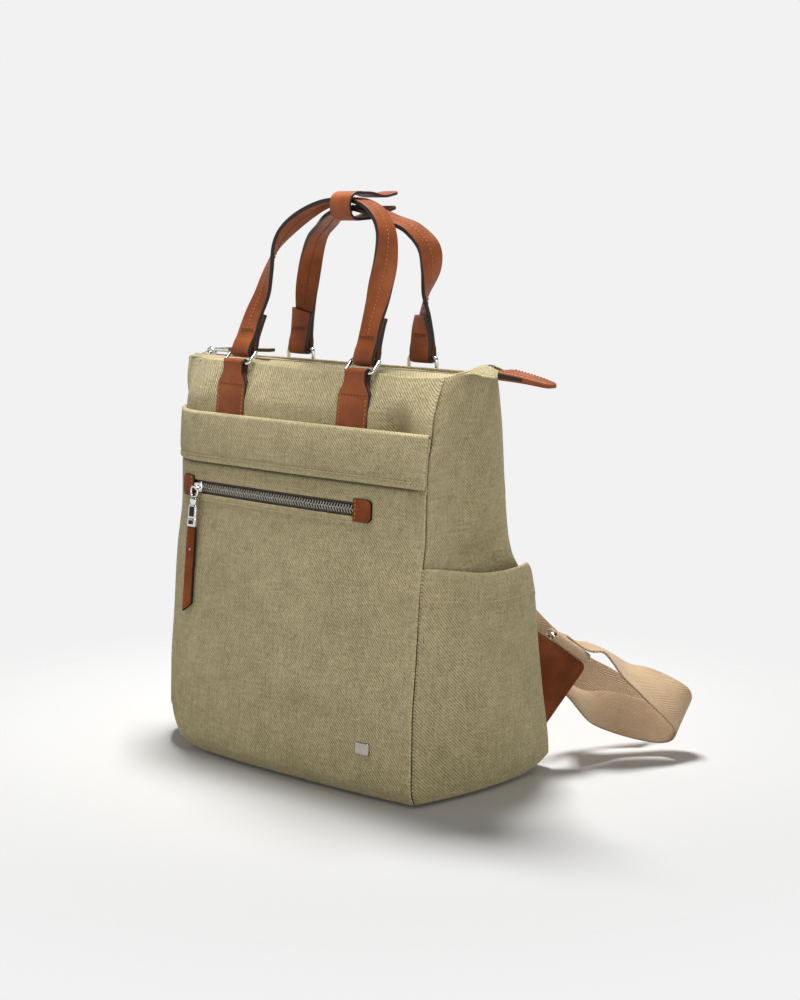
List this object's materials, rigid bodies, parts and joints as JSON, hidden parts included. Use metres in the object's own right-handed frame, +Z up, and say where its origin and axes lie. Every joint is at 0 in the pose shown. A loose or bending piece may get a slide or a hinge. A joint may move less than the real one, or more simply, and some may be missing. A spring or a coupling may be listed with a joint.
{
  "type": "canvas backpack",
  "caption": "Upright canvas backpack with zipped top, front slip pocket, open side pockets, leather carry handles held by a keeper and webbing shoulder straps.",
  "frame": {"origin": "centre of the flat underside of the base, midway between the handle tabs across the width", "axes": "+Z up, the front with its zipped pocket faces -Y, +X towards the end of the top zip with the leather tail"},
  "size_m": [0.4802, 0.3084, 0.4796],
  "materials": {
    "canvas": "washed khaki canvas, twill weave",
    "leather": "smooth cognac leather with dark painted edges",
    "metal": "polished silver",
    "webbing": "beige herringbone webbing",
    "zip_tape": "woven zip tape"
  },
  "bodies": {
    "bag": {"front_panel": "canvas", "back_panel": "canvas", "gusset_left": "canvas", "gusset_right": "canvas", "base_panel": "canvas", "front_pocket": "canvas", "front_pocket_band": "canvas", "front_zip_tape": "zip_tape", "front_zip_chain": "metal", "front_zip_end_left": "leather", "front_zip_end_right": "leather", "front_zip_slider": "metal", "front_plate": "metal", "side_pocket_left": "canvas", "side_pocket_right": "canvas", "top_facing_front": "canvas", "top_facing_back": "canvas", "top_zip_tape": "zip_tape", "top_zip_chain": "metal", "top_zip_slider": "metal", "top_pull_link": "metal", "top_pull_bar": "metal", "top_pull_strip": "leather", "top_zip_tail": "leather", "handle_tab_front_left": "leather", "handle_ring_front_left": "metal", "handle_tab_front_right": "leather", "handle_ring_front_right": "metal", "handle_strap_front": "leather", "handle_tab_back_left": "leather", "handle_ring_back_left": "metal", "handle_tab_back_right": "leather", "handle_ring_back_right": "metal", "handle_strap_back": "leather", "handle_keeper": "leather", "strap_fin_right": "leather", "strap_fin_left": "leather", "strap_ring_right": "metal", "strap_ring_left": "metal", "strap_roll_right": "webbing", "strap_roll_left": "webbing", "strap_upper_right": "webbing", "strap_upper_left": "webbing", "strap_loop_right": "webbing", "strap_loop_left": "webbing"},
    "front_pull": {"front_pull_link": "metal", "front_pull_bar": "metal", "front_pull_strip": "leather"}
  },
  "joints": [
    {"name": "front_pull_swing", "type": "hinge", "parent": "bag", "child": "front_pull", "pos_m": [-0.103, -0.0692, 0.2285], "axis": [-1, 0, 0], "range_deg": [0, 150]}
  ]
}
